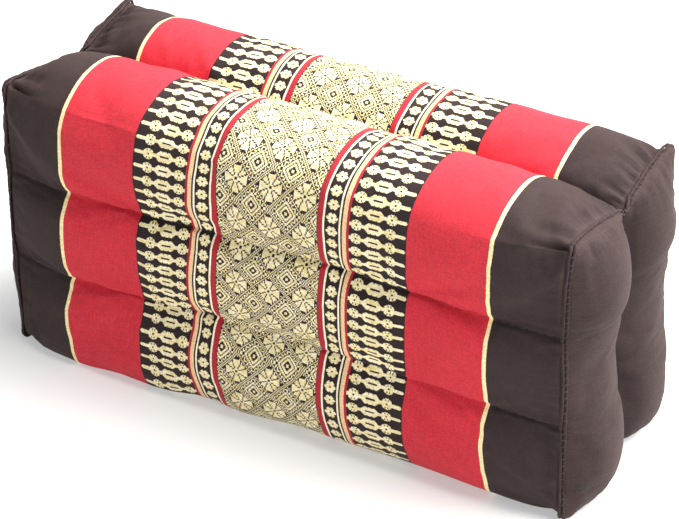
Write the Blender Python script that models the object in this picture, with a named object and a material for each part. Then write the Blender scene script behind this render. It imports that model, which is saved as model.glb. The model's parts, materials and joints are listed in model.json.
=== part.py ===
"""A channel-sewn block cushion that stands on its long narrow side.

The patterned wrap goes round the front, the top, the back and the underside. It is sewn through along
two lines on the front and the back and along one line on the top and the underside, so the filling
swells between the lines. A plain panel closes each end.

Frame: X runs along the cushion, the front faces -Y and Z is up. The origin is on the surface that the
cushion stands on, under its middle. Sizes are in metres.
"""

import math

import bmesh
import bpy
from mathutils import Matrix, Vector

# The seam box: the sizes between the corners of the two end seams.
LENGTH = 0.350
DEPTH = 0.118
LOW_CORNER_Z = 0.002
HIGH_CORNER_Z = 0.1665

# The grooves in the middle of the top, the underside and the ends lie a little behind the centre.
GROOVE_Y = 0.005
TOP_GROOVE_Z = 0.157
BOTTOM_GROOVE_Z = 0.009
GROOVE_SPREAD = 1.4

# How full each tube of the wrap is, away from its ends.
TOP_CORNER_Z = 0.1600
TOP_CORNER_RADIUS = 0.032
TOP_CROWN = 0.0270
BACK_SHARE = 0.82
BOTTOM_RISE = 0.004
BOTTOM_CROWN = 0.016
END_CORNER_RADIUS = 0.004
CROWN_POWER = 0.55
TOP_CROWN_POWER = 0.45
END_ROUNDING = 7.0

# The left end seam bows outward between its corners, and the right one hardly does.
END_BOW = {-1.0: 0.006, 1.0: 0.001}
BOW_START = 0.6
BOW_POWER = 3

# Uneven filling along the cushion. A row for each section across it, from the left end to the right.
# x: place along the cushion. seam: how far the sewn lines lie outside the seam box.
# crest: how far the swell between two lines lies outside the seam box. upper_z, lower_z: the heights
# of the two sewn lines. top: how high the crown of the top stands, as a share of TOP_CROWN.
# low_radius: the rounding of the low front and back edges.
SECTION_COLUMNS = ("x", "seam", "crest", "upper_z", "lower_z", "top", "low_radius")
SECTIONS = (
    (-0.175, 0.000, 0.0125, 0.1120, 0.0575, 1.00, 0.010),
    (-0.135, 0.002, 0.0130, 0.1100, 0.0540, 1.02, 0.010),
    (-0.086, 0.001, 0.0110, 0.1110, 0.0560, 1.00, 0.012),
    (-0.035, 0.003, 0.0112, 0.1140, 0.0595, 1.00, 0.020),
    (0.035, 0.004, 0.0114, 0.1170, 0.0620, 1.03, 0.026),
    (0.086, 0.004, 0.0114, 0.1160, 0.0620, 1.04, 0.028),
    (0.135, 0.004, 0.0128, 0.1145, 0.0610, 1.04, 0.028),
    (0.175, 0.000, 0.0125, 0.1125, 0.0580, 1.00, 0.028),
)

# The swell of an end panel, a row for each of the three tubes behind it, from the lowest up.
# middle: the height of the tube's middle, from -1 at the low seam to 1 at the high one.
END_SWELL_COLUMNS = ("middle", "swell")
END_SWELLS = (
    (-0.66, 0.0145),
    (0.00, 0.0095),
    (0.66, 0.0145),
)
END_ROUNDING_UP = 4.0
END_ROUNDING_DOWN_FRONT = 9.0
END_ROUNDING_DOWN_BACK = 3.0
END_TUBE_SPREAD = 0.38
END_GROOVE_DEPTH = 0.004
END_GROOVE_POWER = 3
END_CREASE = 0.0012
END_CREASE_WIDTH = 0.07

# The end panels are cloth sheets that lie on the filled ends.
PANEL_THICKNESS = 0.0020
PANEL_GAP = 0.0006

# How many faces the grids have, and how far their lines move towards the seams, from 0 to 1.
FACES_ALONG = 32
FACES_PER_CHANNEL = 8
FACES_PER_LOBE = 6
EASE_ALONG = 0.55
EASE_ACROSS = 0.6

# Heights of the sewn lines on the unit block that the grids start from.
UNIT_SEAM = 1.0 / 3.0


def clear_scene():
    """Removes every object, so that the cushion is alone in the scene."""
    for old in list(bpy.data.objects):
        bpy.data.objects.remove(old, do_unlink=True)


def mix(first, second, share):
    """The value that lies this share of the way from first to second."""
    return first + (second - first) * share


def smooth(share):
    """A soft step from 0 to 1."""
    share = min(max(share, 0.0), 1.0)
    return share * share * (3.0 - 2.0 * share)


def crown(position, power=CROWN_POWER):
    """The height of a swell at a place from -1 to 1 between the two lines that hold it, at most 1."""
    return max(1.0 - position * position, 0.0) ** power


def section_at(x):
    """The values of SECTIONS at a place along the cushion, by column name."""
    rows = [dict(zip(SECTION_COLUMNS, row)) for row in SECTIONS]
    for left, right in zip(rows, rows[1:]):
        if x <= right["x"] or right is rows[-1]:
            share = smooth((x - left["x"]) / (right["x"] - left["x"]))
            return {name: mix(left[name], right[name], share) for name in SECTION_COLUMNS}


def fullness(x):
    """How far the wrap has swollen at this place: 0 at the end seams and nearly 1 between them."""
    share = min(abs(x) / (LENGTH / 2.0), 1.0)
    return (1.0 - share**END_ROUNDING) ** CROWN_POWER


def height_on_side(c, low, high, section):
    """The height of a point of the front or back whose place on the unit block is c."""
    stops = (
        (-1.0, low),
        (-UNIT_SEAM, section["lower_z"]),
        (UNIT_SEAM, section["upper_z"]),
        (1.0, high),
    )
    for (c0, z0), (c1, z1) in zip(stops, stops[1:]):
        if c <= c1 or c1 == 1.0:
            return mix(z0, z1, (c - c0) / (c1 - c0))


def rounded(y, z, half_depth, low, high, radius_low, radius_high):
    """Moves a point of a rectangle's outline onto the same rectangle with round corners.

    Returns the point and the direction that points straight out of the outline there.
    """
    radius = radius_high if z > (low + high) / 2.0 else radius_low
    core_y = min(max(y, -half_depth + radius), half_depth - radius)
    core_z = min(max(z, low + radius), high - radius)
    out_y, out_z = y - core_y, z - core_z
    size = math.hypot(out_y, out_z)
    out_y, out_z = out_y / size, out_z / size
    return core_y + radius * out_y, core_z + radius * out_z, out_y, out_z


def seam_place():
    """How far from the middle the wrap ends at its corners, so that an end panel covers its edge."""
    return LENGTH / 2.0 - PANEL_GAP - PANEL_THICKNESS


def end_bow(x, c):
    """How far the wrap bows outward along X near an end seam, between the low corners and the high."""
    side = math.copysign(1.0, x)
    near = smooth((abs(x) / seam_place() - BOW_START) / (1.0 - BOW_START))
    return side * END_BOW[side] * near * (1.0 - abs(c) ** BOW_POWER)


def wrap_point(x, b, c):
    """The place on the wrap of the section at x and the unit block's outline point b, c."""
    section = section_at(x)
    full = fullness(x)
    half_depth = DEPTH / 2.0 + section["seam"] * full
    high = mix(HIGH_CORNER_Z, TOP_CORNER_Z, full)
    low = LOW_CORNER_Z + BOTTOM_RISE * full
    radius_high = mix(END_CORNER_RADIUS, TOP_CORNER_RADIUS, full)
    radius_low = mix(END_CORNER_RADIUS, section["low_radius"], full)
    z = height_on_side(c, low, high, section)
    y = b * half_depth
    y, z, out_y, out_z = rounded(y, z, half_depth, low, high, radius_low, radius_high)

    # The grooves of the top and the underside draw the outline in towards the middle.
    middle = 1.0 - abs(b)
    y += GROOVE_Y * middle
    if c == 1.0:
        z += (TOP_GROOVE_Z - high) * middle**GROOVE_SPREAD
    if c == -1.0:
        z += (BOTTOM_GROOVE_Z - low) * middle**GROOVE_SPREAD

    # Each tube swells between the two lines that hold it.
    side_crown = section["crest"] - section["seam"]
    if abs(c) <= UNIT_SEAM:
        swell = side_crown * crown(c / UNIT_SEAM)
    else:
        past_corner = (1.0 - abs(c)) / (1.0 - UNIT_SEAM)
        along = 0.5 * abs(b) if abs(c) == 1.0 else 0.5 + 0.5 * past_corner
        if c > 0.0:
            far_crown = TOP_CROWN * section["top"] * (BACK_SHARE if b > 0.0 else 1.0)
            power = mix(TOP_CROWN_POWER, CROWN_POWER, smooth(along))
        else:
            far_crown = BOTTOM_CROWN
            power = CROWN_POWER
        swell = mix(far_crown, side_crown, smooth(along)) * crown(2.0 * along - 1.0, power)
    y += out_y * swell * full
    z += out_z * swell * full
    return Vector((x + end_bow(x, c), y, max(z, 0.0)))


def end_outline_height(b, c, x):
    """The height of an end's inner point, between the outlines of the underside and the top."""
    top_z = wrap_point(x, b, 1.0).z
    bottom_z = wrap_point(x, b, -1.0).z
    side_low, side_z, side_high = (wrap_point(x, 1.0, place).z for place in (-1.0, c, 1.0))
    return mix(bottom_z, top_z, (side_z - side_low) / (side_high - side_low))


def end_swell(b, c):
    """How far an end stands out past its seam at the unit block's point b, c."""
    total = 0.0
    weight = 0.0
    for row in END_SWELLS:
        tube = dict(zip(END_SWELL_COLUMNS, row))
        near = math.exp(-(((c - tube["middle"]) / END_TUBE_SPREAD) ** 2))
        total += near * tube["swell"]
        weight += near
    across = crown(2.0 * abs(b) - 1.0)
    back_share = smooth(0.5 + 2.0 * b)
    rounding_down = mix(END_ROUNDING_DOWN_FRONT, END_ROUNDING_DOWN_BACK, back_share)
    rounding = END_ROUNDING_UP if c > 0.0 else rounding_down
    upright = max(1.0 - abs(c) ** rounding, 0.0) ** CROWN_POWER
    creases = sum(
        math.exp(-(((c - line) / END_CREASE_WIDTH) ** 2)) for line in (-UNIT_SEAM, UNIT_SEAM)
    )
    groove = END_GROOVE_DEPTH * (1.0 - abs(b)) ** END_GROOVE_POWER * upright
    return (total / weight * across - END_CREASE * creases * across) * upright - groove


def end_point(side, b, c, outward):
    """A point of the left (-1) or right (1) end, moved outward by a distance."""
    x_seam = seam_place() * side
    if max(abs(b), abs(c)) == 1.0:
        return wrap_point(x_seam, b, c) + Vector((side * outward, 0.0, 0.0))
    x = x_seam + end_bow(x_seam, c) + side * (end_swell(b, c) + outward)
    return Vector((x, wrap_point(x_seam, b, 1.0).y, end_outline_height(b, c, x_seam)))


def eased(count, ease):
    """Places from -1 to 1 that lie closer together near both ends, without the ends themselves."""
    places = []
    for step in range(1, count):
        even = 2.0 * step / count - 1.0
        places.append(mix(even, math.sin(even * math.pi / 2.0), ease))
    return places


def cuts_up():
    """Where the unit block is cut across its height: the sewn lines and the faces between them."""
    cuts = [-UNIT_SEAM, UNIT_SEAM]
    for start in (-1.0, -UNIT_SEAM, UNIT_SEAM):
        width = 2.0 * UNIT_SEAM
        cuts += [start + width * (place + 1.0) / 2.0 for place in eased(FACES_PER_CHANNEL, EASE_ACROSS)]
    return cuts


def cuts_across():
    """Where the unit block is cut across its depth: the groove and the faces of the two lobes."""
    cuts = [0.0]
    for start in (-1.0, 0.0):
        cuts += [start + (place + 1.0) / 2.0 for place in eased(FACES_PER_LOBE, EASE_ACROSS)]
    return cuts


def unit_block(cuts):
    """A closed block from -1 to 1 on each axis, cut into a grid. cuts has a list for each axis."""
    mesh = bmesh.new()
    bmesh.ops.create_cube(mesh, size=2.0)
    for axis, places in enumerate(cuts):
        normal = Vector((0.0, 0.0, 0.0))
        normal[axis] = 1.0
        for place in places:
            bmesh.ops.bisect_plane(
                mesh,
                geom=mesh.verts[:] + mesh.edges[:] + mesh.faces[:],
                dist=1e-6,
                plane_co=normal * place,
                plane_no=normal,
            )
    return mesh


def snapped(value, places):
    """The grid place nearest to a vertex's coordinate, so that rounding can't move it."""
    return min(places, key=lambda place: abs(place - value))


def finish(mesh, name, colour, roughness):
    """Turns the mesh into a named object, shaded smooth, with its own material."""
    bmesh.ops.recalc_face_normals(mesh, faces=mesh.faces[:])
    bmesh.ops.triangulate(mesh, faces=mesh.faces[:], quad_method="SHORT_EDGE")
    data = bpy.data.meshes.new(name)
    mesh.to_mesh(data)
    mesh.free()
    data.shade_smooth()
    thing = bpy.data.objects.new(name, data)
    bpy.context.scene.collection.objects.link(thing)
    material = bpy.data.materials.new(name + "_cloth")
    material.use_nodes = True
    shader = material.node_tree.nodes["Principled BSDF"]
    shader.inputs["Base Color"].default_value = (*colour, 1.0)
    shader.inputs["Roughness"].default_value = roughness
    shader.inputs["Metallic"].default_value = 0.0
    data.materials.append(material)
    return thing


def filled_wrap():
    """The filled cushion: the wrap with its sewn channels, and the swollen ends under the panels."""
    grids = (eased(FACES_ALONG, EASE_ALONG), cuts_across(), cuts_up())
    mesh = unit_block(grids)
    places = [[-1.0, 1.0, *cuts] for cuts in grids]
    reach = seam_place()
    for vertex in mesh.verts:
        a, b, c = (snapped(vertex.co[axis], places[axis]) for axis in range(3))
        vertex.co = end_point(a, b, c, 0.0) if abs(a) == 1.0 else wrap_point(a * reach, b, c)
    return finish(mesh, "filled_wrap", (0.52, 0.035, 0.055), 0.85)


def end_panel(name, side):
    """One end panel: a sheet of cloth that lies on the filled end, out to the seam."""
    grids = ([], cuts_across(), cuts_up())
    mesh = unit_block(grids)
    places = [[-1.0, 1.0, *cuts] for cuts in grids]
    for vertex in mesh.verts:
        a, b, c = (snapped(vertex.co[axis], places[axis]) for axis in range(3))
        outward = PANEL_GAP + (PANEL_THICKNESS if a == side else 0.0)
        vertex.co = end_point(side, b, c, outward)
    return finish(mesh, name, (0.075, 0.052, 0.050), 0.9)


def centre_over_origin(things):
    """Moves the pieces together in their meshes, so that the middle of their box is over the origin."""
    points = [vertex.co for thing in things for vertex in thing.data.vertices]
    middle_x = (min(point.x for point in points) + max(point.x for point in points)) / 2.0
    middle_y = (min(point.y for point in points) + max(point.y for point in points)) / 2.0
    for thing in things:
        thing.data.transform(Matrix.Translation((-middle_x, -middle_y, 0.0)))


def main():
    clear_scene()
    pieces = [filled_wrap(), end_panel("end_panel_left", -1.0), end_panel("end_panel_right", 1.0)]
    centre_over_origin(pieces)


main()
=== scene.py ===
"""Looks of a channel-sewn block cushion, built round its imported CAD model.

The patterned wrap, the two end panels, the end seams and the stitching are built on the same seam box as
the CAD solids. A cloth simulation under pressure gives the wrap its wrinkles, and node materials give it
the woven pattern. Sizes are in metres, X runs along the cushion, the front faces -Y and Z is up.
"""

import json
import logging
import math
import random
from dataclasses import dataclass
from enum import Enum

import bmesh
import bpy
import numpy as np
from mathutils import Matrix, Vector, noise

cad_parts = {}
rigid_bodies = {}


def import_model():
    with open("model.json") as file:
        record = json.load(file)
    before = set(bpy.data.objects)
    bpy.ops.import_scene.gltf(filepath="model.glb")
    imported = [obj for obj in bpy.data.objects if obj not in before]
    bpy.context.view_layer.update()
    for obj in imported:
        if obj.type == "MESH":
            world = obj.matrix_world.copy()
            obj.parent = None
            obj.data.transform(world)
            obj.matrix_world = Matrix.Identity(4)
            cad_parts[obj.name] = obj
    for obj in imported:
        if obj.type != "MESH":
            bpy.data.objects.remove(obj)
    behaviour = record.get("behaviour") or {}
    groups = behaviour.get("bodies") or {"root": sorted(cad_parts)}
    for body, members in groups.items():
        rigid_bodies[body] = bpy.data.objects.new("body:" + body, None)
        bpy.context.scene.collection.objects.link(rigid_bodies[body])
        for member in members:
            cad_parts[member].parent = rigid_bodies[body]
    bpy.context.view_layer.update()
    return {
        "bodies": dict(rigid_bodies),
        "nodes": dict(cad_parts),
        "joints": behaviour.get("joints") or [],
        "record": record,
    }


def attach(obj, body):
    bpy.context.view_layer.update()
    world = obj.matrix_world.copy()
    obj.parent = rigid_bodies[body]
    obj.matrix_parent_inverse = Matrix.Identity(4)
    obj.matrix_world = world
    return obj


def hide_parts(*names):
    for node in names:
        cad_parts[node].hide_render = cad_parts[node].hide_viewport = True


BODY = "root"
UNIT_SEAM = 1.0 / 3.0
MM = 0.001
RUB_LAYER = "rub"
SNAP_DIGITS = 6

Numbers = float | np.ndarray

log = logging.getLogger("cushion")


class Side(Enum):
    """The two ends of the cushion."""

    LEFT = -1.0
    RIGHT = 1.0

    @property
    def word(self) -> str:
        """The side's name in lower case."""
        return self.name.lower()


class ClothSlot(Enum):
    """The material slots of the filled wrap."""

    PATTERNED = 0
    END = 1


def mix(first: Numbers, second: Numbers, share: Numbers) -> Numbers:
    """The value, or array of values, that lies this share of the way from first to second."""
    return first + (second - first) * share


def smooth(share: Numbers) -> Numbers:
    """A soft step from 0 to 1, on a number or an array."""
    held = np.clip(share, 0.0, 1.0)
    return held * held * (3.0 - 2.0 * held)


def crown(position: Numbers, power: Numbers) -> Numbers:
    """The height of a swell at places from -1 to 1 between the two lines that hold it, at most 1."""
    return np.maximum(1.0 - position * position, 0.0) ** power


def eased(count: int, ease: float) -> list[float]:
    """Places from -1 to 1 that lie closer together near both ends, without the ends themselves.

    Args:
        count: how many steps there are between the ends.
        ease: 0 for even steps, and 1 for the steps of a sine.

    Returns:
        The places, from the lowest up.
    """
    places = []
    for step in range(1, count):
        even = 2.0 * step / count - 1.0
        places.append(float(mix(even, math.sin(even * math.pi / 2.0), ease)))
    return places


def mesh_object(name: str, mesh: bmesh.types.BMesh) -> bpy.types.Object:
    """Turns a bmesh into a named, smoothly shaded object in the scene.

    Args:
        name: the object's name.
        mesh: the bmesh, which is freed.

    Returns:
        The new object.
    """
    data = bpy.data.meshes.new(name)
    mesh.to_mesh(data)
    mesh.free()
    data.shade_smooth()
    thing = bpy.data.objects.new(name, data)
    bpy.context.scene.collection.objects.link(thing)
    return thing


def coordinates(data: bpy.types.Mesh) -> np.ndarray:
    """The places of a mesh's vertices, as an array of three columns."""
    flat = np.zeros(len(data.vertices) * 3, np.float32)
    data.vertices.foreach_get("co", flat)
    return flat.reshape(-1, 3).astype(float)


def set_coordinates(data: bpy.types.Mesh, points: np.ndarray) -> None:
    """Moves a mesh's vertices to new places."""
    data.vertices.foreach_set("co", points.astype(np.float32).ravel())
    data.update()


def normals(data: bpy.types.Mesh) -> np.ndarray:
    """The directions that a mesh's vertices face, as an array of three columns."""
    flat = np.zeros(len(data.vertices) * 3, np.float32)
    data.vertices.foreach_get("normal", flat)
    return flat.reshape(-1, 3).astype(float)


def float_layer(data: bpy.types.Mesh, name: str, values: np.ndarray) -> None:
    """Keeps one number per vertex in a named attribute."""
    layer = data.attributes.get(name) or data.attributes.new(name, "FLOAT", "POINT")
    layer.data.foreach_set("value", values.astype(np.float32))


def layer_values(data: bpy.types.Mesh, name: str) -> np.ndarray:
    """The numbers of a named vertex attribute."""
    values = np.zeros(len(data.vertices), np.float32)
    data.attributes[name].data.foreach_get("value", values)
    return values.astype(float)


@dataclass
class CushionForm:
    """The shape of the filled cushion, as a function of places on a unit block.

    On the block, a runs from -1 at the left seam to 1 at the right one, b from -1 at the front to 1 at
    the back, and c from -1 at the low corners to 1 at the high ones. The sewn lines of the front and the
    back are at c = -1/3 and 1/3, and those of the top, the underside and the ends at b = 0.
    """

    length: float = 0.350
    depth: float = 0.118
    low_corner_z: float = 0.002
    high_corner_z: float = 0.1665
    groove_y: float = 0.005
    top_groove_z: float = 0.1555
    bottom_groove_z: float = 0.009
    groove_spread: float = 1.4
    top_corner_z: float = 0.1600
    top_corner_radius: float = 0.032
    top_crown: float = 0.0270
    back_share: float = 0.82
    bottom_rise: float = 0.004
    bottom_crown: float = 0.016
    end_corner_radius: float = 0.004
    crown_power: float = 0.55
    top_crown_power: float = 0.45
    end_rounding: float = 7.0
    left_bow: float = 0.0045
    right_bow: float = 0.001
    bow_start: float = 0.6
    bow_power: float = 3.0
    seam_sink: float = 0.0004
    rounding_up: float = 4.0
    rounding_down_front: float = 9.0
    rounding_down_back: float = 7.0
    tube_spread: float = 0.38
    end_groove_depth: float = 0.013
    end_groove_power: float = 3.6
    end_crease: float = 0.0012
    end_crease_width: float = 0.07
    panel_reach: float = 0.0026
    seam_slack: float = 0.0002
    step_start: float = 0.75
    shift_x: float = 0.00204118
    ear: float = 0.0032
    ear_spread: float = 0.009

    SECTION_COLUMNS = ("x", "seam", "crest", "upper_z", "lower_z", "top", "low_radius")
    SECTIONS = (
        (-0.175, 0.000, 0.0125, 0.1120, 0.0575, 1.00, 0.010),
        (-0.135, 0.002, 0.0130, 0.1100, 0.0540, 1.02, 0.010),
        (-0.086, 0.001, 0.0110, 0.1110, 0.0560, 1.00, 0.012),
        (-0.035, 0.003, 0.0112, 0.1140, 0.0595, 1.00, 0.020),
        (0.035, 0.004, 0.0114, 0.1170, 0.0620, 1.03, 0.026),
        (0.086, 0.004, 0.0114, 0.1160, 0.0620, 1.04, 0.028),
        (0.135, 0.004, 0.0128, 0.1145, 0.0610, 1.04, 0.028),
        (0.175, 0.000, 0.0125, 0.1125, 0.0580, 1.00, 0.028),
    )
    # How far the ends stand out at heights c: the left end, and the right end's front and back lobes.
    END_SWELLS = (
        (-0.66, 0.0145, 0.0178, 0.0140),
        (0.00, 0.0095, 0.0095, 0.0062),
        (0.66, 0.0145, 0.0195, 0.0140),
    )

    # How far the right end's front corners and seam stand out along X, at heights c.
    SEAM_STEPS = ((-1.0, 0.0038), (-UNIT_SEAM, 0.0022), (UNIT_SEAM, 0.0008), (1.0, 0.0022))

    @property
    def reach(self) -> float:
        """How far from the middle the wrap ends at its corners."""
        return self.length / 2.0 - self.panel_reach

    def sections(self, x: np.ndarray) -> dict[str, np.ndarray]:
        """The values of SECTIONS at places along the cushion, by column name.

        Args:
            x: the places, before the shift that centres the part.

        Returns:
            An array for each column.
        """
        table = np.array(self.SECTIONS)
        row = np.clip(np.searchsorted(table[:, 0], x) - 1, 0, len(table) - 2)
        left, right = table[row], table[row + 1]
        share = smooth((x - left[:, 0]) / (right[:, 0] - left[:, 0]))
        values = mix(left, right, share[:, None])
        return {name: values[:, n] for n, name in enumerate(self.SECTION_COLUMNS)}

    def fullness(self, x: np.ndarray) -> np.ndarray:
        """How far the wrap has swollen: 0 at the end seams and nearly 1 between them."""
        share = np.minimum(np.abs(x) / (self.reach + self.seam_slack), 1.0)
        return (1.0 - share**self.end_rounding) ** self.crown_power

    def bow(self, x: np.ndarray, c: np.ndarray) -> np.ndarray:
        """How far the wrap bows outward along X near an end seam."""
        near = smooth((np.abs(x) / self.reach - self.bow_start) / (1.0 - self.bow_start))
        size = np.where(x < 0.0, -self.left_bow, self.right_bow)
        return size * near * (1.0 - np.abs(c) ** self.bow_power)

    def wrap(self, x: np.ndarray, b: np.ndarray, c: np.ndarray) -> np.ndarray:
        """Places on the wrap.

        Args:
            x: places along the cushion, before the shift that centres the part.
            b: places across the unit block.
            c: places up the unit block.

        Returns:
            The places in the part's frame, without that shift, as three columns.
        """
        section = self.sections(x)
        full = self.fullness(x)
        half = self.depth / 2.0 + section["seam"] * full
        high = mix(self.high_corner_z, self.top_corner_z, full)
        low = self.low_corner_z + self.bottom_rise * full
        high_radius = mix(self.end_corner_radius, self.top_corner_radius, full)
        low_radius = mix(self.end_corner_radius, section["low_radius"], full)
        z = np.where(
            c < -UNIT_SEAM,
            mix(low, section["lower_z"], (c + 1.0) / (1.0 - UNIT_SEAM)),
            np.where(
                c <= UNIT_SEAM,
                mix(section["lower_z"], section["upper_z"], (c + UNIT_SEAM) / (2.0 * UNIT_SEAM)),
                mix(section["upper_z"], high, (c - UNIT_SEAM) / (1.0 - UNIT_SEAM)),
            ),
        )
        y = b * half

        # Round corners, and the direction that points straight out of the outline.
        radius = np.where(z > (low + high) / 2.0, high_radius, low_radius)
        core_y = np.clip(y, -half + radius, half - radius)
        core_z = np.clip(z, low + radius, high - radius)
        out_y, out_z = y - core_y, z - core_z
        size = np.hypot(out_y, out_z)
        size = np.where(size == 0.0, 1.0, size)
        out_y, out_z = out_y / size, out_z / size
        y, z = core_y + radius * out_y, core_z + radius * out_z

        # The grooves of the top and the underside draw the outline in towards the middle.
        middle = 1.0 - np.abs(b)
        y = y + self.groove_y * middle
        z = z + np.where(c == 1.0, (self.top_groove_z - high) * middle**self.groove_spread, 0.0)
        z = z + np.where(c == -1.0, (self.bottom_groove_z - low) * middle**self.groove_spread, 0.0)

        # Each tube swells between the two lines that hold it.
        side_crown = section["crest"] - section["seam"]
        past_corner = (1.0 - np.abs(c)) / (1.0 - UNIT_SEAM)
        along = np.where(np.abs(c) == 1.0, 0.5 * np.abs(b), 0.5 + 0.5 * past_corner)
        far = np.where(
            c > 0.0,
            self.top_crown * section["top"] * np.where(b > 0.0, self.back_share, 1.0),
            self.bottom_crown,
        )
        top_power = mix(self.top_crown_power, self.crown_power, smooth(along))
        power = np.where(c > 0.0, top_power, self.crown_power)
        corner_swell = mix(far, side_crown, smooth(along)) * crown(2.0 * along - 1.0, power)
        side_swell = side_crown * crown(c / UNIT_SEAM, self.crown_power)
        swell = np.where(np.abs(c) <= UNIT_SEAM, side_swell, corner_swell) * full
        y = y + out_y * swell
        z = z + out_z * swell

        # The thread sinks a little into the cloth at each sewn line.
        on_side = (np.abs(b) == 1.0) & (np.abs(np.abs(c) - UNIT_SEAM) < 1e-6)
        on_top = (np.abs(c) == 1.0) & (b == 0.0)
        sink = np.where(on_side | on_top, self.seam_sink, 0.0) * full
        y = y - out_y * sink
        z = z - out_z * sink
        return np.stack([x + self.bow(x, c), y, np.maximum(z, 0.0)], axis=1)

    def end_swell(self, side: float, b: np.ndarray, c: np.ndarray) -> np.ndarray:
        """How far an end stands out past its seam.

        Args:
            side: -1 for the left end and 1 for the right one.
            b: places across the unit block.
            c: places up the unit block.

        Returns:
            The distances along X.
        """
        total = np.zeros(len(c))
        weight = np.zeros(len(c))
        for middle, left, right_front, right_back in self.END_SWELLS:
            near = np.exp(-(((c - middle) / self.tube_spread) ** 2))
            right = mix(right_front, right_back, smooth(0.5 + 3.0 * b))
            total += near * (right if side > 0.0 else left)
            weight += near
        across = crown(2.0 * np.abs(b) - 1.0, self.crown_power)
        behind = smooth(0.5 + 2.0 * b)
        down = mix(self.rounding_down_front, self.rounding_down_back, behind)
        rounding = np.where(c > 0.0, self.rounding_up, down)
        upright = np.maximum(1.0 - np.abs(c) ** rounding, 0.0) ** self.crown_power
        lines = (-UNIT_SEAM, UNIT_SEAM)
        creases = sum(np.exp(-(((c - line) / self.end_crease_width) ** 2)) for line in lines)
        groove = self.end_groove_depth * (1.0 - np.abs(b)) ** self.end_groove_power * upright
        return (total / weight * across - self.end_crease * creases * across) * upright - groove

    def end(self, side: float, b: np.ndarray, c: np.ndarray) -> np.ndarray:
        """Places on an end of the filled cushion.

        Args:
            side: -1 for the left end and 1 for the right one.
            b: places across the unit block.
            c: places up the unit block.

        Returns:
            The places, without the shift that centres the part, as three columns.
        """
        x = np.full(len(b), side * self.reach)
        one = np.ones(len(b))
        top = self.wrap(x, b, one)
        bottom = self.wrap(x, b, -one)
        low = self.wrap(x, one, -one)[:, 2]
        here = self.wrap(x, one, c)[:, 2]
        high = self.wrap(x, one, one)[:, 2]
        z = mix(bottom[:, 2], top[:, 2], (here - low) / (high - low))
        inner = np.stack([x + self.bow(x, c) + side * self.end_swell(side, b, c), top[:, 1], z], axis=1)
        rim = (np.abs(b) == 1.0) | (np.abs(c) == 1.0)
        return np.where(rim[:, None], self.wrap(x, b, c), inner)

    def ears(self, points: np.ndarray) -> np.ndarray:
        """How far each place moves because the corners of the end seams stand out as small points.

        Args:
            points: places, without the shift that centres the part.

        Returns:
            The moves, as three columns.
        """
        moves = np.zeros_like(points)
        for side in (-1.0, 1.0):
            for front in (-1.0, 1.0):
                for high in (0.0, 1.0):
                    corner = np.array(
                        [
                            side * self.reach,
                            front * self.depth / 2.0,
                            self.high_corner_z if high else self.low_corner_z,
                        ]
                    )
                    way = np.array([side * 0.75, front * 0.45, 0.45 * high])
                    near = np.exp(-((np.linalg.norm(points - corner, axis=1) / self.ear_spread) ** 1.5))
                    moves += near[:, None] * way * self.ear
        return moves

    def step_out(self, a: np.ndarray, b: np.ndarray, c: np.ndarray) -> np.ndarray:
        """How far the right end's front edge stands out, as it was sewn a little out of square.

        Args:
            a: places along the unit block.
            b: places across it.
            c: places up it.

        Returns:
            The moves along X.
        """
        steps = np.array(self.SEAM_STEPS)
        near = smooth((a - self.step_start) / (1.0 - self.step_start))
        return np.interp(c, steps[:, 0], steps[:, 1]) * near * (1.0 - b) / 2.0

    def place(self, a: np.ndarray, b: np.ndarray, c: np.ndarray) -> np.ndarray:
        """Places of the whole filled cushion in the part's frame.

        Args:
            a: places along the unit block.
            b: places across it.
            c: places up it.

        Returns:
            The places, as three columns.
        """
        points = self.wrap(a * self.reach, b, c)
        for side in (-1.0, 1.0):
            ours = a == side
            points[ours] = self.end(side, b[ours], c[ours])
        points = points + self.ears(points)
        points[:, 0] += self.shift_x + self.step_out(a, b, c)
        points[:, 2] = np.maximum(points[:, 2], 0.0)
        return points


def block_outline(run: np.ndarray) -> tuple[np.ndarray, np.ndarray]:
    """The unit block's b and c at places round its outline.

    Args:
        run: 0 at the middle of the underside, 1 at the low front corner, 3 at the high one, 5 and 7 at
            the back corners, and 8 at the start again.

    Returns:
        The two coordinates.
    """
    stops = [0.0, 1.0, 3.0, 5.0, 7.0, 8.0]
    return (
        np.interp(run, stops, [0.0, -1.0, -1.0, 1.0, 1.0, 0.0]),
        np.interp(run, stops, [-1.0, -1.0, 1.0, 1.0, -1.0, -1.0]),
    )


def outline_run(b: np.ndarray, c: np.ndarray, behind: np.ndarray) -> np.ndarray:
    """Where points of the unit block's outline lie round it, as block_outline counts.

    Args:
        b: places across the unit block.
        c: places up it.
        behind: whether a place at the middle of the underside belongs to the back half.

    Returns:
        The places, from 0 to 8.
    """
    under = np.where(behind, 8.0 - b, -b)
    return np.select(
        [c <= -1.0, b <= -1.0, c >= 1.0],
        [under, 2.0 + c, 4.0 + b],
        6.0 - c,
    )


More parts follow.
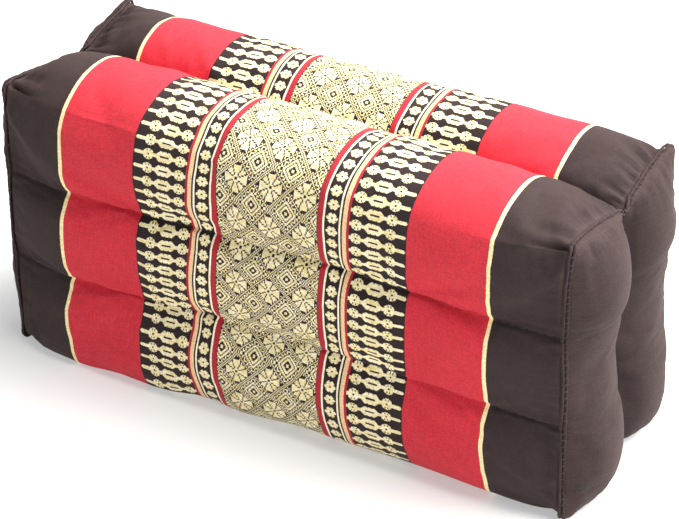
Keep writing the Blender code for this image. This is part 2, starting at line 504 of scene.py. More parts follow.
@dataclass
class ClothMeasure:
    """Turns places on the cushion into places on the flat cloth, in metres.

    The flat cloth's u is 0 at the pattern's middle and grows to the right. Its v is 0 at the upper sewn
    line of the front and grows upward. The cloth was sewn in a little askew, which DRIFT tells.
    """

    form: CushionForm
    steps: int = 1600

    # Over the arc v: where the pattern's middle lies along X, how much further the weave has run, and
    # how far a row climbs for each step along X.
    DRIFT_COLUMNS = ("v", "middle", "extra", "climb")
    DRIFT = (
        (-0.1050, 0.0015, 0.0006, 0.036),
        (-0.0900, -0.0005, 0.0003, 0.030),
        (-0.0800, -0.0015, 0.0018, 0.010),
        (-0.0700, -0.0014, 0.0000, 0.000),
        (-0.0610, -0.0010, 0.0013, 0.000),
        (-0.0500, 0.0001, -0.0022, 0.008),
        (-0.0440, 0.0002, -0.0003, 0.000),
        (-0.0300, 0.0001, 0.0005, 0.000),
        (-0.0140, 0.0001, 0.0020, 0.000),
        (-0.0050, 0.0000, 0.0013, 0.000),
        (0.0040, 0.0000, -0.0001, 0.000),
        (0.0200, 0.0009, 0.0000, 0.000),
        (0.0370, 0.0011, 0.0009, 0.022),
        (0.0500, 0.0011, 0.0022, 0.031),
        (0.0750, 0.0014, 0.0020, 0.020),
        (0.0900, 0.0015, 0.0013, 0.010),
        (0.1500, -0.0006, 0.0043, 0.000),
    )

    def __post_init__(self) -> None:
        """Measures the middle section once."""
        self.runs = np.linspace(0.0, 8.0, self.steps + 1)
        b, c = block_outline(self.runs)
        points = self.form.wrap(np.zeros(len(b)), b, c)
        steps = np.linalg.norm(np.diff(points, axis=0), axis=1)
        lengths = np.concatenate([[0.0], np.cumsum(steps)])
        self.lengths = lengths - np.interp(1.0 + 4.0 / 3.0, self.runs, lengths)

    def along_girth(self, run: np.ndarray) -> np.ndarray:
        """The arc over the cloth at places round the outline, from the front's upper sewn line."""
        return np.interp(run, self.runs, self.lengths)

    def flat(self, x: np.ndarray, run: np.ndarray) -> np.ndarray:
        """Places on the flat cloth.

        Args:
            x: places along the cushion.
            run: places round the outline.

        Returns:
            The u and v of each place, as two columns.
        """
        arc = self.along_girth(run)
        drift = dict(zip(self.DRIFT_COLUMNS, np.array(self.DRIFT).T))
        middle, extra, climb = (np.interp(arc, drift["v"], drift[name]) for name in self.DRIFT_COLUMNS[1:])
        return np.stack([x - middle, arc + extra - climb * x], axis=1)


def unit_block(cuts: list[list[float]]) -> bmesh.types.BMesh:
    """A closed block from -1 to 1 on each axis, cut into a grid.

    Args:
        cuts: the places of the cuts, a list for each axis.

    Returns:
        The block as a bmesh.
    """
    mesh = bmesh.new()
    bmesh.ops.create_cube(mesh, size=2.0)
    for axis, places in enumerate(cuts):
        normal = Vector((0.0, 0.0, 0.0))
        normal[axis] = 1.0
        for place in places:
            bmesh.ops.bisect_plane(
                mesh,
                geom=mesh.verts[:] + mesh.edges[:] + mesh.faces[:],
                dist=1e-6,
                plane_co=normal * place,
                plane_no=normal,
            )
    return mesh


@dataclass
class Pucker:
    """One small gather of cloth that runs away from a seam."""

    place: float
    width: float
    reach: float
    height: float
    lean: float


@dataclass
class FilledWrap:
    """The filled cushion in its patterned wrap, with its sewn channels and swollen ends."""

    form: CushionForm
    measure: ClothMeasure
    faces_along: int = 88
    faces_per_channel: int = 24
    faces_per_lobe: int = 18
    ease_along: float = 0.5
    ease_across: float = 0.45
    pressure: float = 4.0
    frames: int = 20
    slack: float = 0.035
    wrinkle_gain: float = 0.55
    wrinkle_cap: float = 0.0013
    keep_smooth: int = 40
    line_sharpness: float = 0.35
    seed: int = 7

    def cuts(self) -> list[list[float]]:
        """Where the unit block is cut along its three axes."""
        up = [-UNIT_SEAM, UNIT_SEAM]
        for start in (-1.0, -UNIT_SEAM, UNIT_SEAM):
            up += [start + UNIT_SEAM * (s + 1.0) for s in eased(self.faces_per_channel, self.ease_across)]
        across = [0.0]
        for start in (-1.0, 0.0):
            across += [start + (s + 1.0) / 2.0 for s in eased(self.faces_per_lobe, self.ease_across)]
        return [eased(self.faces_along, self.ease_along), across, up]

    def block(self) -> bpy.types.Object:
        """The cut unit block, shaped, with its flat cloth coordinates.

        Returns:
            The object. Its vertices have the attributes a, b and c.
        """
        cuts = self.cuts()
        mesh = unit_block(cuts)
        grid = [np.array(sorted([-1.0, 1.0, *places])) for places in cuts]
        unit = np.array([vertex.co[:] for vertex in mesh.verts])
        for axis, places in enumerate(grid):
            unit[:, axis] = places[np.abs(places[None, :] - unit[:, axis, None]).argmin(axis=1)]
        mesh.verts.index_update()
        flat = mesh.loops.layers.uv.new("cloth")
        reach = self.form.reach
        for face in mesh.faces:
            corners = unit[[loop.vert.index for loop in face.loops]]
            if np.ptp(corners[:, 0]) < 1e-9:
                face.material_index = ClothSlot.END.value
                places = corners[:, 1:] * (self.form.depth / 2.0, self.form.high_corner_z / 2.0)
            else:
                behind = np.full(len(corners), corners[:, 1].mean() > 0.0)
                run = outline_run(corners[:, 1], corners[:, 2], behind)
                places = self.measure.flat(corners[:, 0] * reach, run)
            for loop, place in zip(face.loops, places):
                loop[flat].uv = place
        crease = mesh.edges.layers.float.new("crease_edge")
        for edge in mesh.edges:
            ends = unit[[vertex.index for vertex in edge.verts]]
            edge[crease] = self.sharpness(ends)
        places = self.form.place(*unit.T)
        for vertex, place in zip(mesh.verts, places):
            vertex.co = place
        bmesh.ops.recalc_face_normals(mesh, faces=mesh.faces[:])
        thing = mesh_object("filled_wrap_looks", mesh)
        for name, values in zip("abc", unit.T):
            float_layer(thing.data, name, values)
        return thing

    def sharpness(self, ends: np.ndarray) -> float:
        """How sharply the cloth turns at an edge of the unit block.

        Args:
            ends: the block coordinates of the edge's two vertices, a row each.

        Returns:
            1 on an end seam, less on a sewn line and 0 elsewhere.
        """
        at_end = (np.abs(ends[:, 0]) == 1.0).all()
        on_rim = (np.abs(ends[:, 1]) == 1.0).all() or (np.abs(ends[:, 2]) == 1.0).all()
        level = (ends[:, 2] == ends[0, 2]).all() and abs(abs(ends[0, 2]) - UNIT_SEAM) < 1e-9
        on_side = (np.abs(ends[:, 1]) == 1.0).all() and level
        in_groove = (ends[:, 1] == 0.0).all() and not at_end
        if at_end and on_rim:
            return 1.0
        return self.line_sharpness if on_side or in_groove else 0.0

    def hold(self, thing: bpy.types.Object) -> bpy.types.VertexGroup:
        """Groups the vertices that the seams hold still.

        Args:
            thing: the shaped block.

        Returns:
            The vertex group.
        """
        a, b, c = (layer_values(thing.data, name).round(SNAP_DIGITS) for name in "abc")
        rim = (np.abs(a) == 1.0) & ((np.abs(b) == 1.0) | (np.abs(c) == 1.0))
        level = np.abs(np.abs(c) - UNIT_SEAM) < 1e-4
        side = (np.abs(b) == 1.0) & level
        groove = b == 0.0
        group = thing.vertex_groups.new(name="sewn")
        group.add([int(n) for n in np.nonzero(rim | side | groove)[0]], 1.0, "REPLACE")
        return group

    def simulate(self, thing: bpy.types.Object) -> np.ndarray:
        """Fills the cushion under pressure while its seams are held, with a little spare cloth.

        Args:
            thing: the shaped block, which is left as it is.

        Returns:
            The places of its vertices when the cloth has settled, as three columns.
        """
        trial = thing.copy()
        trial.data = thing.data.copy()
        bpy.context.scene.collection.objects.link(trial)
        group = self.hold(trial)
        modifier = trial.modifiers.new("filling", "CLOTH")
        cloth = modifier.settings
        cloth.quality = 5
        cloth.mass = 0.2
        cloth.tension_stiffness = 30.0
        cloth.compression_stiffness = 30.0
        cloth.shear_stiffness = 12.0
        cloth.bending_stiffness = 0.35
        cloth.vertex_group_mass = group.name
        cloth.use_pressure = True
        cloth.uniform_pressure_force = self.pressure
        cloth.shrink_min = -self.slack
        cloth.effector_weights.gravity = 0.0
        modifier.collision_settings.use_collision = False
        modifier.collision_settings.use_self_collision = False
        modifier.point_cache.frame_start = 1
        modifier.point_cache.frame_end = self.frames
        scene = bpy.context.scene
        for frame in range(1, self.frames + 1):
            scene.frame_set(frame)
        settled = trial.evaluated_get(bpy.context.evaluated_depsgraph_get())
        points = coordinates(settled.data)
        scene.frame_set(1)
        data = trial.data
        bpy.data.objects.remove(trial, do_unlink=True)
        bpy.data.meshes.remove(data)
        return points

    def wrinkles(self, thing: bpy.types.Object, settled: np.ndarray) -> np.ndarray:
        """The folds that the simulation adds, without its change of the whole shape.

        Args:
            thing: the shaped block.
            settled: the places of its vertices after the simulation.

        Returns:
            The capped moves, as three columns.
        """
        start = coordinates(thing.data)
        move = settled - start
        ends = np.zeros(len(thing.data.edges) * 2, np.int64)
        thing.data.edges.foreach_get("vertices", ends)
        ends = ends.reshape(-1, 2)
        count = np.bincount(ends.ravel(), minlength=len(start)).astype(float)
        broad = move.copy()
        for _ in range(self.keep_smooth):
            total = np.zeros_like(broad)
            for axis in range(3):
                total[:, axis] = np.bincount(ends[:, 0], broad[ends[:, 1], axis], len(start))
                total[:, axis] += np.bincount(ends[:, 1], broad[ends[:, 0], axis], len(start))
            broad = mix(broad, total / count[:, None], 0.6)
        fine = (move - broad) * self.wrinkle_gain
        size = np.linalg.norm(fine, axis=1)
        share = np.minimum(1.0, self.wrinkle_cap / np.maximum(size, 1e-9))
        log.info("wrinkles reach %.2f mm before their cap", size.max() / MM)
        return fine * share[:, None]

    def puckers(self, total: float) -> list[Pucker]:
        """Gathers at seeded random places round an end seam.

        Args:
            total: the length of the seam.

        Returns:
            The gathers.
        """
        draw = random.Random(self.seed)
        made = []
        place = 0.0
        while place < total:
            made.append(
                Pucker(
                    place=place,
                    width=draw.uniform(0.0016, 0.0030),
                    reach=draw.uniform(0.008, 0.017),
                    height=draw.uniform(-0.0046, -0.0010),
                    lean=draw.uniform(-0.35, 0.35),
                )
            )
            place += draw.uniform(0.0050, 0.0085)
        return made

    def round_the_seam(self, a: np.ndarray, b: np.ndarray, c: np.ndarray) -> tuple[np.ndarray, np.ndarray]:
        """How far places lie from their nearest end seam, and where along it.

        Args:
            a: places along the unit block.
            b: places across it.
            c: places up it.

        Returns:
            The distances over the cloth, and the places along the flat cloth's v.
        """
        at_end = np.abs(a) == 1.0
        from_side = (1.0 - np.abs(b)) * self.form.depth / 2.0
        from_level = (1.0 - np.abs(c)) * self.form.high_corner_z / 2.0
        side_first = from_side < from_level
        rim_b = np.where(at_end & side_first, np.sign(b), b)
        rim_c = np.where(at_end & ~side_first, np.sign(c), c)
        away = np.where(at_end, np.minimum(from_side, from_level), (1.0 - np.abs(a)) * self.form.reach)
        return away, self.measure.along_girth(outline_run(rim_b, rim_c, b > 0.0))

    def finer(self, thing: bpy.types.Object) -> None:
        """Subdivides the wrap once, and adds its gathers, its uneven filling and its rubbed places."""
        modifier = thing.modifiers.new("finer", "SUBSURF")
        modifier.levels = modifier.render_levels = 1
        shown = thing.evaluated_get(bpy.context.evaluated_depsgraph_get())
        coarse = thing.data
        thing.data = bpy.data.meshes.new_from_object(shown)
        thing.data.name = coarse.name
        thing.modifiers.clear()
        bpy.data.meshes.remove(coarse)
        thing.data.shade_smooth()

        a, b, c = (layer_values(thing.data, name).round(SNAP_DIGITS) for name in "abc")
        points = coordinates(thing.data)
        facing = normals(thing.data)
        away, along = self.round_the_seam(a, b, c)
        total = float(np.ptp(self.measure.lengths))
        gathered = np.select([np.abs(a) == 1.0, np.abs(b) < 1.0], [0.25, 1.0], 0.25)
        gathered = gathered * mix(0.15, 1.0, smooth(away / 0.004))
        lift = np.zeros(len(a))
        for side in (-1.0, 1.0):
            ours = (a * side > 0.0).astype(float) * gathered
            for pucker in self.puckers(total):
                across = (along - along.min() - pucker.place - pucker.lean * away) / pucker.width
                lift += ours * pucker.height * np.exp(-(across**2) - (away / pucker.reach) ** 2)
        lift += self.channel_gathers(a, b, c)
        still = smooth(away / 0.02) * smooth(self.from_sewn_line(b, c) / 0.012)
        lumps = np.array([noise.noise(Vector(point) * 32.0) for point in points])
        lift += 0.0007 * lumps * still
        points += facing * lift[:, None]
        points[:, 2] = np.maximum(points[:, 2], 0.0)
        set_coordinates(thing.data, points)
        rub = np.exp(-((away / 0.0035) ** 2)) + 0.35 * smooth(self.from_sewn_line(b, c) / 0.03) * still
        float_layer(thing.data, RUB_LAYER, np.clip(rub, 0.0, 1.0))

    def from_sewn_line(self, b: np.ndarray, c: np.ndarray) -> np.ndarray:
        """How far places lie from the nearest sewn line round the cushion.

        Args:
            b: places across the unit block.
            c: places up it.

        Returns:
            The rough distances over the cloth, in metres.
        """
        run = outline_run(b, c, b > 0.0)
        half_depth = self.form.depth / 2.0 * 1.3
        up = self.form.high_corner_z / 2.0 * 1.1
        to_groove = np.minimum(np.abs(run - 4.0), np.minimum(run, 8.0 - run)) * half_depth
        to_side = np.abs(np.abs(c) - UNIT_SEAM) * up
        on_level = np.abs(c) == 1.0
        return np.where(on_level, to_groove, np.minimum(to_side, 1.0))

    def channel_gathers(self, a: np.ndarray, b: np.ndarray, c: np.ndarray) -> np.ndarray:
        """Small dimples where the thread of each sewn line pulls the cloth.

        Args:
            a: places along the unit block.
            b: places across it.
            c: places up it.

        Returns:
            How far each place is lifted, in metres.
        """
        away = self.from_sewn_line(b, c)
        x = a * self.form.reach
        line = np.select([np.abs(c) == 1.0, c > 0.0], [3.0 * c, 2.0], 1.0) + 10.0 * (b > 0.0)
        lift = np.zeros(len(a))
        for name in np.unique(line):
            ours = (line == name) & (np.abs(a) < 1.0)
            draw = random.Random(self.seed + int(name * 3))
            place = -self.form.reach
            while place < self.form.reach:
                width = draw.uniform(0.0014, 0.0030)
                reach = draw.uniform(0.003, 0.010)
                height = draw.uniform(-0.0006, 0.0004)
                lean = draw.uniform(-0.6, 0.6)
                beside = (x[ours] - place - lean * away[ours]) / width
                near = np.exp(-(beside**2) - (away[ours] / reach) ** 2)
                lift[ours] += height * near
                place += draw.uniform(0.004, 0.011)
        return lift

    def build(self) -> bpy.types.Object:
        """Builds the filled wrap.

        Returns:
            The object, in place and without materials.
        """
        thing = self.block()
        settled = self.simulate(thing)
        set_coordinates(thing.data, coordinates(thing.data) + self.wrinkles(thing, settled))
        self.finer(thing)
        return thing

    def seam_line(self, thing: bpy.types.Object, side: Side) -> tuple[np.ndarray, np.ndarray]:
        """The finished wrap's line at an end seam, from the middle of the underside by way of the front.

        Args:
            thing: the finished wrap.
            side: which end.

        Returns:
            The places and the outward directions, as three columns each.
        """
        a, b, c = (layer_values(thing.data, name).round(SNAP_DIGITS) for name in "abc")
        rim = (a == side.value) & ((np.abs(b) == 1.0) | (np.abs(c) == 1.0))
        run = outline_run(b, c, b > 0.0)
        order = np.nonzero(rim)[0]
        order = order[np.argsort(run[order])]
        return coordinates(thing.data)[order], normals(thing.data)[order]

    def sewn_line(
        self, thing: bpy.types.Object, b_line: float, c_line: float
    ) -> tuple[np.ndarray, np.ndarray]:
        """The finished wrap's line along one sewn line, from the left end to the right.

        Args:
            thing: the finished wrap.
            b_line: the line's place across the unit block.
            c_line: the line's place up it.

        Returns:
            The places and the outward directions, as three columns each.
        """
        a, b, c = (layer_values(thing.data, name) for name in "abc")
        ours = (np.abs(b - b_line) < 1e-4) & (np.abs(c - c_line) < 1e-4) & (np.abs(a) < 0.9999)
        order = np.nonzero(ours)[0]
        order = order[np.argsort(a[order])]
        return coordinates(thing.data)[order], normals(thing.data)[order]


@dataclass
class EndPanel:
    """The plain panel that closes one end: a sheet of cloth over the swollen filling."""

    side: Side
    lift: float = 0.0007
    rim_lift: float = 0.0002
    thickness: float = 0.0011
    flat: tuple[float, float] = (0.132, 0.176)

    def build(self, wrap: bpy.types.Object) -> bpy.types.Object:
        """Cuts the panel's shape from the filled end that it lies on.

        Args:
            wrap: the finished wrap.

        Returns:
            The panel, a closed sheet.
        """
        mesh = bmesh.new()
        mesh.from_mesh(wrap.data)
        unit = [mesh.verts.layers.float[name] for name in "abc"]
        wanted = self.side.value
        drop = [
            face
            for face in mesh.faces
            if face.material_index != ClothSlot.END.value or face.verts[0][unit[0]] * wanted < 0.0
        ]
        bmesh.ops.delete(mesh, geom=drop, context="FACES")
        mesh.normal_update()
        for vertex in mesh.verts:
            rim = max(abs(vertex[unit[1]]), abs(vertex[unit[2]])) > 1.0 - 1e-6
            vertex.co += vertex.normal * (self.rim_lift if rim else self.lift)
        for face in mesh.faces:
            face.material_index = 0
        thing = mesh_object(f"end_cloth_{self.side.word}", mesh)
        modifier = thing.modifiers.new("cloth_thickness", "SOLIDIFY")
        modifier.thickness = self.thickness
        modifier.offset = 1.0
        modifier.use_rim = True
        shown = thing.evaluated_get(bpy.context.evaluated_depsgraph_get())
        thin = thing.data
        thing.data = bpy.data.meshes.new_from_object(shown)
        thing.modifiers.clear()
        bpy.data.meshes.remove(thin)
        points = coordinates(thing.data)
        points[:, 2] = np.maximum(points[:, 2], 0.0)
        set_coordinates(thing.data, points)
        thing.data.shade_smooth()
        return thing


def closed_tube(
    name: str,
    centres: np.ndarray,
    firsts: np.ndarray,
    seconds: np.ndarray,
    radii: np.ndarray,
    around: int,
) -> bpy.types.Object:
    """A closed ring of cloth or cord that follows a line.

    Args:
        name: the object's name.
        centres: the line's places, as three columns. It closes on itself.
        firsts: one direction across the line at each place.
        seconds: the other direction across it.
        radii: the two radii at each place, along those directions.
        around: how many faces go round the tube.

    Returns:
        The object.
    """
    count = len(centres)
    mesh = bmesh.new()
    bmesh.ops.create_grid(mesh, x_segments=count, y_segments=around, size=1.0)
    for vertex in mesh.verts:
        place = round((vertex.co.x + 1.0) / 2.0 * count) % count
        turn = (vertex.co.y + 1.0) * math.pi
        offset = firsts[place] * radii[place, 0] * math.cos(turn)
        offset = offset + seconds[place] * radii[place, 1] * math.sin(turn)
        vertex.co = Vector(centres[place] + offset)
    bmesh.ops.remove_doubles(mesh, verts=mesh.verts[:], dist=1e-7)
    bmesh.ops.recalc_face_normals(mesh, faces=mesh.faces[:])
    return mesh_object(name, mesh)


def line_frames(places: np.ndarray, outward: np.ndarray, closed: bool) -> tuple[np.ndarray, np.ndarray]:
    """The directions along and across a line on a surface.

    Args:
        places: the line's places.
        outward: the surface's outward direction at each.
        closed: whether the line closes on itself.

    Returns:
        The directions along the line and across it, in the surface.
    """
    if closed:
        along = np.roll(places, -1, axis=0) - np.roll(places, 1, axis=0)
    else:
        along = np.gradient(places, axis=0)
    along /= np.linalg.norm(along, axis=1)[:, None]
    across = np.cross(along, outward)
    across /= np.linalg.norm(across, axis=1)[:, None]
    return along, across


@dataclass
class EndSeam:
    """The raised seam round one end, where the wrap's edge and the panel's are sewn together."""

    side: Side
    ridge_radius: float = 0.0010
    ridge_gap: float = 0.0012
    proud: float = 0.0017
    stitch_pitch: float = 0.0042
    stitch_radius: float = 0.00022
    stitch_half_length: float = 0.0015
    lowest_stitch: float = 0.0016
    lowest_ridge: float = 1.25
    faces_around: int = 8
    seed: int = 31

    def build(self, wrap: FilledWrap, thing: bpy.types.Object) -> list[bpy.types.Object]:
        """Builds the two ridges of the seam and the stitches over them.

        Args:
            wrap: the wrap's builder.
            thing: the finished wrap.

        Returns:
            The ridges and the stitches.
        """
        places, outward = wrap.seam_line(thing, self.side)
        along, _ = line_frames(places, outward, True)
        to_end = np.zeros_like(places)
        to_end[:, 0] = self.side.value
        side_way = to_end - (to_end * along).sum(axis=1)[:, None] * along
        side_way -= (side_way * outward).sum(axis=1)[:, None] * outward
        side_way /= np.linalg.norm(side_way, axis=1)[:, None]
        steps = np.linalg.norm(places - np.roll(places, 1, axis=0), axis=1)
        run = np.cumsum(steps)
        draw = random.Random(self.seed + int(self.side.value))
        made = []
        pulled = 0.5 - 0.5 * np.cos(2.0 * math.pi * run / self.stitch_pitch)
        uneven = np.array([noise.noise(Vector((r * 260.0, self.side.value, 0.0))) for r in run])
        for name, way in (("wrap", -1.0), ("panel", 1.0)):
            size = self.ridge_radius * (0.78 + 0.22 * pulled + 0.25 * uneven)
            radii = np.stack([size, size * 0.85], axis=1)
            centres = places + side_way * (way * self.ridge_gap * (0.85 + 0.15 * pulled))[:, None]
            centres = centres + outward * (self.proud - 0.35 * self.ridge_radius)
            centres[:, 2] = np.maximum(centres[:, 2], self.ridge_radius * self.lowest_ridge)
            made.append(
                closed_tube(
                    f"seam_ridge_{name}_{self.side.word}",
                    centres,
                    side_way,
                    outward,
                    radii,
                    self.faces_around,
                )
            )
        mesh = bmesh.new()
        total = float(run[-1])
        place = 0.0
        while place < total - self.stitch_pitch / 2.0:
            n = int(np.searchsorted(run, place))
            n = min(n, len(run) - 1)
            slant = draw.uniform(0.15, 0.5)
            direction = Vector(side_way[n] + along[n] * slant).normalized()
            centre = Vector(places[n] + outward[n] * (self.proud + self.ridge_radius * 0.42))
            centre.z = max(centre.z, self.lowest_stitch)
            facing = Vector(outward[n])
            add_stitch(mesh, centre, direction, facing, self.stitch_half_length, self.stitch_radius)
            place += self.stitch_pitch * draw.uniform(0.9, 1.1)
        made.append(mesh_object(f"seam_stitches_{self.side.word}", mesh))
        return made


def add_stitch(
    mesh: bmesh.types.BMesh,
    centre: Vector,
    direction: Vector,
    outward: Vector,
    half_length: float,
    radius: float,
) -> None:
    """Adds one stitch of thread, a slim rounded bar, to a mesh.

    Args:
        mesh: the mesh that it is added to.
        centre: the stitch's middle.
        direction: the way that it runs.
        outward: the way that the cloth faces.
        half_length: half its length.
        radius: half its thickness.
    """
    side = direction.cross(outward).normalized()
    up = side.cross(direction).normalized()
    turn = Matrix((side, up, direction)).transposed().to_4x4()
    size = Matrix.Diagonal((radius, radius, half_length, 1.0))
    bmesh.ops.create_uvsphere(
        mesh,
        u_segments=6,
        v_segments=5,
        radius=1.0,
        matrix=Matrix.Translation(centre) @ turn @ size,
    )


@dataclass
class ChannelStitches:
    """The running stitches that lie in the sewn lines of the wrap."""

    pitch: float = 0.0052
    half_length: float = 0.0014
    radius: float = 0.00018
    seed: int = 5

    LINES = (
        (-1.0, UNIT_SEAM),
        (-1.0, -UNIT_SEAM),
        (1.0, UNIT_SEAM),
        (1.0, -UNIT_SEAM),
        (0.0, 1.0),
    )

    def build(self, wrap: FilledWrap, thing: bpy.types.Object) -> bpy.types.Object:
        """Builds all the stitches as one piece.

        Args:
            wrap: the wrap's builder.
            thing: the finished wrap.

        Returns:
            The stitches.
        """
        draw = random.Random(self.seed)
        mesh = bmesh.new()
        for b_line, c_line in self.LINES:
            places, outward = wrap.sewn_line(thing, b_line, c_line)
            along, _ = line_frames(places, outward, False)
            run = np.concatenate([[0.0], np.cumsum(np.linalg.norm(np.diff(places, axis=0), axis=1))])
            place = self.pitch
            while place < run[-1] - self.pitch:
                here = np.array([np.interp(place, run, places[:, axis]) for axis in range(3)])
                n = int(np.searchsorted(run, place))
                centre = Vector(here + outward[n] * self.radius * 0.3)
                way, facing = Vector(along[n]), Vector(outward[n])
                add_stitch(mesh, centre, way, facing, self.half_length, self.radius)
                place += self.pitch * draw.uniform(0.92, 1.08)
        return mesh_object("channel_stitches", mesh)


@dataclass
class LooseThread:
    """The short end of sewing thread that stands off the high left back corner."""

    radius: float = 0.00035
    length: float = 0.0055

    def build(self, places: np.ndarray) -> bpy.types.Object:
        """Builds the thread end from the highest back corner of a seam.

        Args:
            places: the left end seam's line.

        Returns:
            The thread end.
        """
        corner = places[np.argmax(places[:, 2] + places[:, 1])]
        mesh = bmesh.new()
        bmesh.ops.create_circle(mesh, cap_ends=True, segments=8, radius=self.radius)
        bmesh.ops.translate(mesh, verts=mesh.verts[:], vec=Vector(corner) - Vector((0.0, 0.0, 0.0006)))
        tip = mesh.faces[:]
        steps = 7
        for n in range(steps):
            share = n / steps
            step = Vector((-0.25 - 0.5 * share, 0.15, 1.0 - 0.9 * share)).normalized() * self.length / steps
            grown = bmesh.ops.extrude_face_region(mesh, geom=tip)["geom"]
            tip = [part for part in grown if isinstance(part, bmesh.types.BMFace)]
            moved = [part for part in grown if isinstance(part, bmesh.types.BMVert)]
            bmesh.ops.translate(mesh, verts=moved, vec=step)
        bmesh.ops.recalc_face_normals(mesh, faces=mesh.faces[:])
        return mesh_object("loose_thread_end", mesh)


def linear(red: float, green: float, blue: float) -> tuple[float, float, float, float]:
    """A shader colour from a screen colour whose parts run from 0 to 255."""
    parts = []
    for part in (red, green, blue):
        share = part / 255.0
        parts.append(share / 12.92 if share <= 0.04045 else ((share + 0.055) / 1.055) ** 2.4)
    return (*parts, 1.0)


class Yarn(Enum):
    """The yarns of the cloth, by their screen colours."""

    DARK = (34, 23, 25)
    BROWN = (45, 33, 33)
    RED = (196, 42, 56)
    DEEP_RED = (168, 34, 48)
    CREAM = (244, 226, 170)
    PALE = (246, 236, 206)
    BEIGE = (236, 196, 150)
    GOLD = (226, 208, 140)

    @property
    def colour(self) -> tuple[float, float, float, float]:
        """The yarn's shader colour."""
        return linear(*self.value)


# The woven stripes on each side of the pattern's middle. upto: where the stripe ends, in millimetres
# of flat cloth from the middle. yarn: its yarn. The last stripe runs to the end seam.
STRIPES = (
    (32.2, Yarn.DARK),
    (35.4, Yarn.DEEP_RED),
    (36.6, Yarn.PALE),
    (45.2, Yarn.DARK),
    (46.3, Yarn.PALE),
    (47.3, Yarn.DARK),
    (49.8, Yarn.BEIGE),
    (51.4, Yarn.DEEP_RED),
    (85.5, Yarn.DARK),
    (132.1, Yarn.RED),
    (134.3, Yarn.CREAM),
    (400.0, Yarn.BROWN),
)


@dataclass(frozen=True)
class Chart:
    """A weaver's chart of one repeat: a # is a pale pick over the dark ground.

    The columns run along the cushion and the rows round it. Both are mirrored, at the chart's first
    row and column and at its last, and all measures are millimetres of flat cloth.

    Attributes:
        name: what the chart draws.
        start: where its band begins, from the pattern's middle.
        end: where its band ends.
        origin: where its first column lies.
        width: how wide its columns are in all.
        height: how high its rows are in all.
        phase: where its first row lies round the cloth.
        rows: the chart itself.
        halves: 2 where each row gives two versions of the repeat side by side. The first has a pale
            line along its lattice and the second a dark one, and the line zigzags from row to row.
    """

    name: str
    start: float
    end: float
    origin: float
    width: float
    height: float
    phase: float
    rows: tuple[str, ...]
    halves: int = 1

    def channels(self, bits: int) -> list[tuple[float, ...]]:
        """Each row's picks as three fractions of a power of two, the first column as the lowest bit.

        Args:
            bits: how many columns each of the three holds.

        Returns:
            The three fractions of each row.
        """
        made = []
        for row in self.rows:
            parts = []
            for first in range(0, 3 * bits, bits):
                picks = row[first : first + bits]
                total = sum(1 << place for place, mark in enumerate(picks) if mark == "#")
                parts.append(total / (1 << bits))
            made.append(tuple(parts))
        return made


# A quarter of the lattice's flower, from its middle outward.
FLOWER_QUARTER = (
    ".########",
    "##..#####",
    "#.##..###",
    "#.####...",
    "##.####..",
    "##.###...",
    "###.#....",
    "###......",
    "###......",
)


class LatticeLine(Enum):
    """Which yarn runs along the middle of a lattice band."""

    PALE = 0
    DARK = 1


@dataclass(frozen=True)
class LatticeRings:
    """The picks of one quarter repeat, worked out from their distance to the flower's middle.

    A distance is a column and a row added up. The flower lies within the first of them, the lattice's
    band runs along the corner-to-corner line, and nested diamonds fill what is past the band.
    """

    size: int = 14
    flower_reach: int = 10
    band: int = 13
    strokes: tuple[int, ...] = (16, 17)
    diamonds: tuple[int, ...] = (19, 20, 22, 23, 26)

    def is_pale(self, column: int, row: int, line: LatticeLine) -> bool:
        """Whether a pick is pale.

        Args:
            column: the pick's column from the flower's middle.
            row: its row.
            line: the yarn along the band.

        Returns:
            True on a pale pick.
        """
        distance = column + row
        if distance <= self.flower_reach:
            inside = max(column, row) < len(FLOWER_QUARTER)
            return inside and FLOWER_QUARTER[row][column] == "#"
        if distance in (self.band - 2, self.band + 2):
            return line is LatticeLine.PALE and (column - row) % 4 < 2
        if distance in (self.band - 1, self.band + 1):
            return line is LatticeLine.DARK
        if distance == self.band:
            return line is LatticeLine.PALE
        if distance in self.strokes:
            return (column - row) % 3 != 0
        return distance in self.diamonds

    def rows(self) -> tuple[str, ...]:
        """The chart's rows, with the pale line's version first and the dark line's beside it."""
        made = []
        for row in range(self.size):
            picks = ""
            for line in LatticeLine:
                for column in range(self.size):
                    picks += "#" if self.is_pale(column, row, line) else "."
            made.append(picks)
        return tuple(made)


FIELD = Chart(
    name="lattice of flowers",
    start=-31.9,
    end=31.9,
    origin=2.1,
    width=10.65,
    height=10.82,
    phase=40.9,
    halves=2,
    rows=LatticeRings().rows(),
)

CHAINS = Chart(
    name="chains",
    start=51.4,
    end=85.5,
    origin=51.6,
    width=33.9,
    height=4.05,
    phase=4.3,
    rows=(
        "######..############..........############..###############.",
        "##########################################################..",
        "..##########....##################....##########............",
        "..###.##.###.....################.....###.##.###............",
        "...##.##.##.......##############.......##.##.##.............",
        ".....####..........###.####.###..........####...............",
        "............................................................",
        "............................................................",
    ),
)

MEDALLIONS = Chart(
    name="medallions",
    start=36.6,
    end=45.2,
    origin=41.0,
    width=4.1,
    height=4.05,
    phase=4.3,
    rows=(
        ".######.",
        "######..",
        "####....",
        "#####...",
        "####....",
        ".##.....",
        "........",
        "........",
    ),
)

# How the loom beat up the rows of the lattice, in millimetres of flat cloth. found: where a row lies.
# even: where it would lie in an even weave.
LATTICE_BEAT = (
    (-160.0, -165.5),
    (-105.0, -110.5),
    (-84.1, -88.9),
    (-62.0, -67.3),
    (-46.6, -45.6),
    (-22.7, -24.0),
    (-2.0, -2.3),
    (17.9, 19.3),
    (44.9, 40.9),
    (69.0, 62.6),
    (86.4, 84.2),
    (240.0, 237.8),
)


